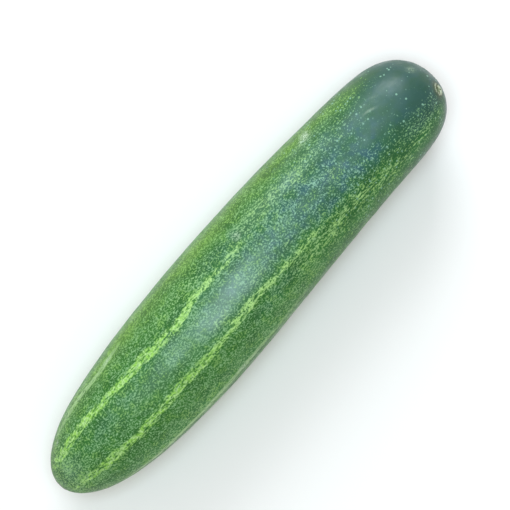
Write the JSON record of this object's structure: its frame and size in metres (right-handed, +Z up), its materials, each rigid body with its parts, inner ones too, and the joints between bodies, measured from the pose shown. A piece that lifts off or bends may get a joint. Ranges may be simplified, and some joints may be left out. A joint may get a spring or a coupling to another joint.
{
  "type": "cucumber",
  "caption": "Whole field cucumber lying on its side: long and slightly bowed, blunt and dark at the stem end, tapered and pale-striped at the blossom end, with a small flat to rest on.",
  "frame": {"origin": "on the surface that the fruit rests on, under the middle of its bounding box", "axes": "+X along the length, from the blossom end to the stem end; +Y sideways, towards the side that the fruit bows out to; +Z up"},
  "size_m": [0.23, 0.0528, 0.051],
  "materials": {
    "skin": "smooth waxy fruit skin with a soft sheen: mid green, flecked and striped with yellow-green, deep blue-green towards the stem end"
  },
  "bodies": {
    "root": {"cucumber": "skin"}
  },
  "joints": []
}
